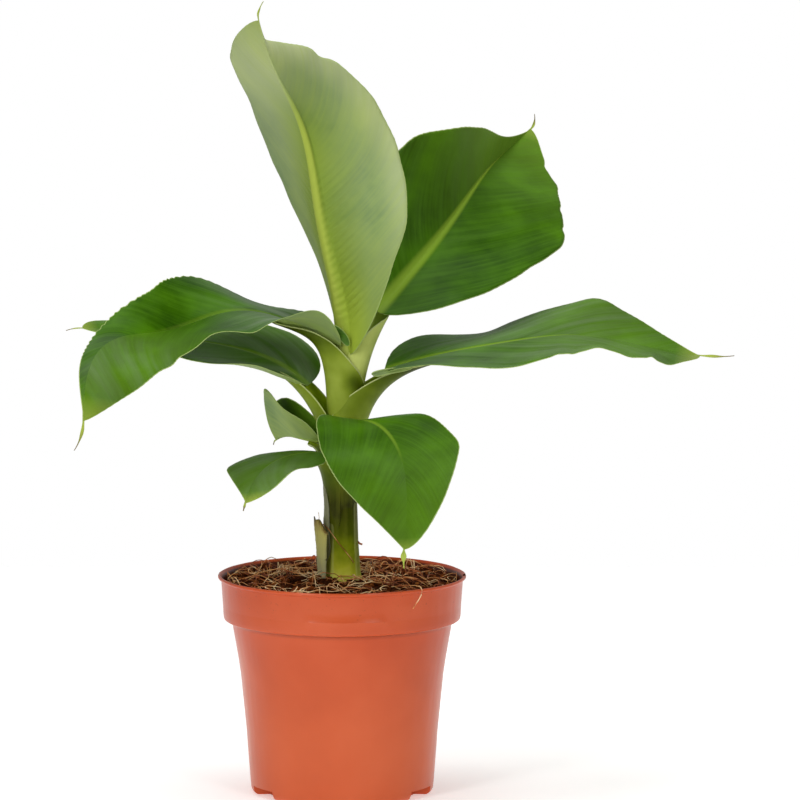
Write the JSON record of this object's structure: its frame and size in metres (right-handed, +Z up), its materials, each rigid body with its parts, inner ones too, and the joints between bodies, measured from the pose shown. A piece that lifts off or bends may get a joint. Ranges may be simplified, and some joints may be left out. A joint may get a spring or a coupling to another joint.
{
  "type": "potted banana plant",
  "caption": "Young banana plant in a round terracotta-coloured nursery pot: a smooth sheathed stem with broad arching green leaves, each on a channelled stalk and ending in a drip tip.",
  "frame": {"origin": "middle of the pot's flat underside, on the surface it stands on", "axes": "+Z up along the stem; +X towards the side that the long level leaf points to; +Y away from the side that the drooping broad leaf hangs on"},
  "size_m": [0.3224, 0.2338, 0.3913],
  "materials": {
    "pot_plastic": "satin moulded terracotta-coloured plastic",
    "compost": "rough peat and coir compost with tan fibres",
    "stem_skin": "smooth satin sheaths, yellow-green with dark olive blotches",
    "dry_sheath": "dry papery old sheath",
    "stalk_skin": "smooth satin yellow-green skin",
    "leaf_blade": "satin green above, pale grey-green with a bloom below"
  },
  "bodies": {
    "root": {"pot": "pot_plastic", "soil": "compost", "stem": "stem_skin", "old_sheath": "dry_sheath", "stalk_1": "stalk_skin", "stalk_2": "stalk_skin", "stalk_3": "stalk_skin", "stalk_4": "stalk_skin", "stalk_5": "stalk_skin", "stalk_6": "stalk_skin", "stalk_7": "stalk_skin", "stalk_8": "stalk_skin", "blade_1": "leaf_blade", "blade_2": "leaf_blade", "blade_3": "leaf_blade", "blade_4": "leaf_blade", "blade_5": "leaf_blade", "blade_6": "leaf_blade", "blade_7": "leaf_blade", "blade_8": "leaf_blade"}
  },
  "joints": []
}
